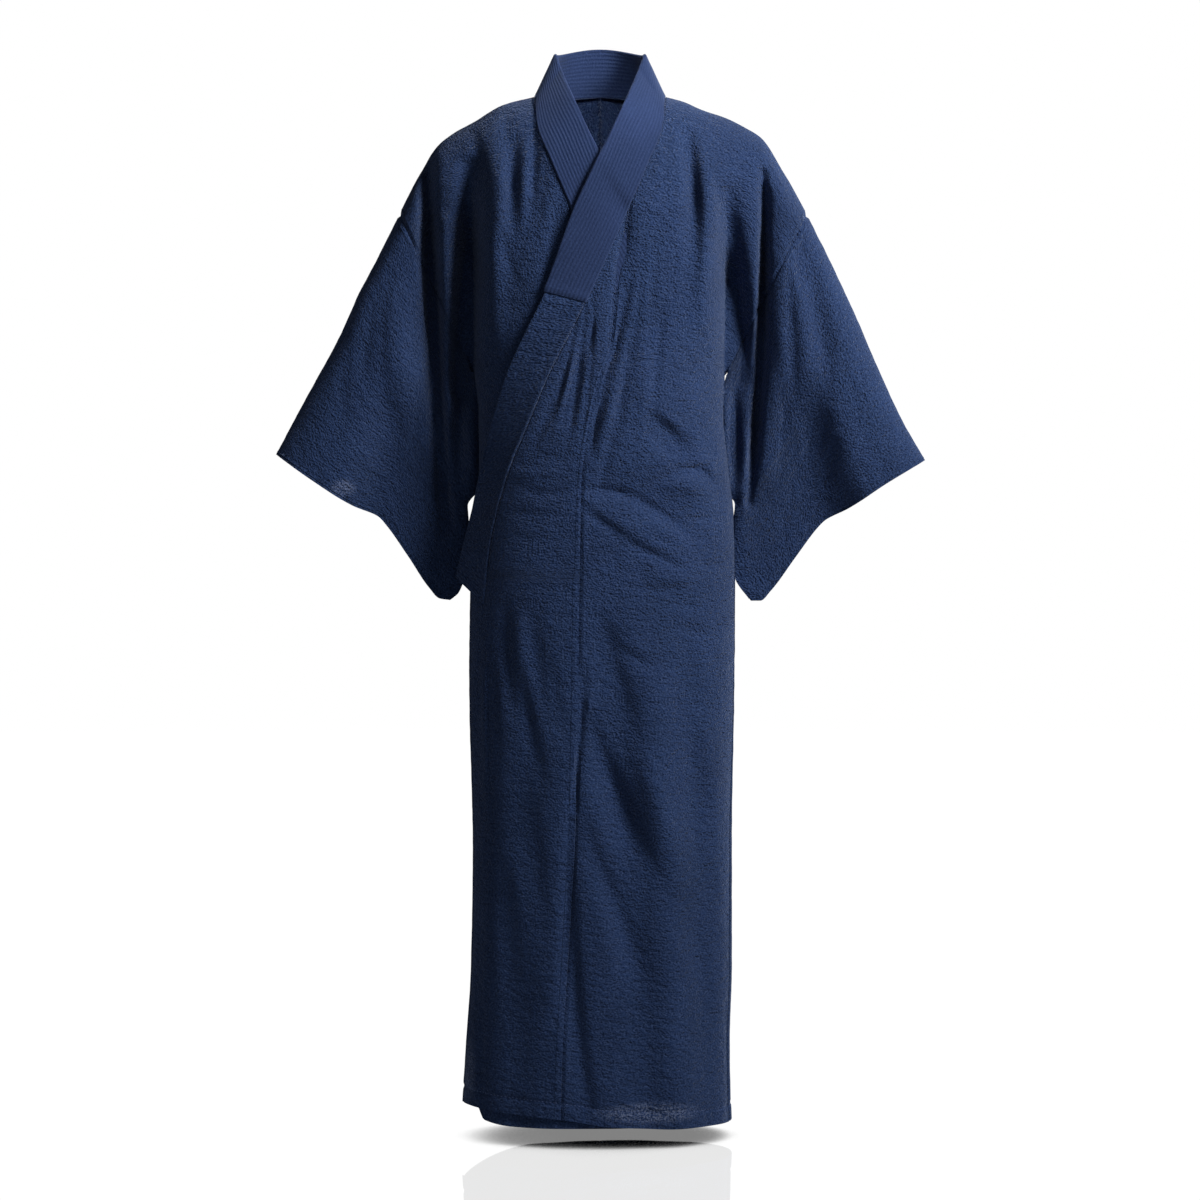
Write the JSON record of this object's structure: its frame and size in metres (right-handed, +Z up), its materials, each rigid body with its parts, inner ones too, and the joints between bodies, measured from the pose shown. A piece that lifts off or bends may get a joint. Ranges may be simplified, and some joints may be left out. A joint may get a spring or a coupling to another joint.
{
  "type": "cotton robe",
  "caption": "Long straight-cut cotton robe worn left over right, with a band collar and wide square sleeves, hollow and open at neck, cuffs and hem.",
  "frame": {"origin": "the middle of the wearer's neck between the two neck points of the shoulder line, where the shoulders carry the robe", "axes": "+X to the wearer's left, -Y to the front, +Z up from the hem to the collar"},
  "size_m": [0.8955, 0.2482, 1.4852],
  "materials": {
    "robe_cotton": "matt crinkled dark indigo cotton",
    "collar_cotton": "matt dark indigo cotton with fine ribs"
  },
  "bodies": {
    "root": {"body_left": "robe_cotton", "body_right": "robe_cotton", "okumi_left": "robe_cotton", "okumi_right": "robe_cotton", "sleeve_left": "robe_cotton", "sleeve_right": "robe_cotton", "collar": "robe_cotton", "collar_cover": "collar_cotton"}
  },
  "joints": []
}
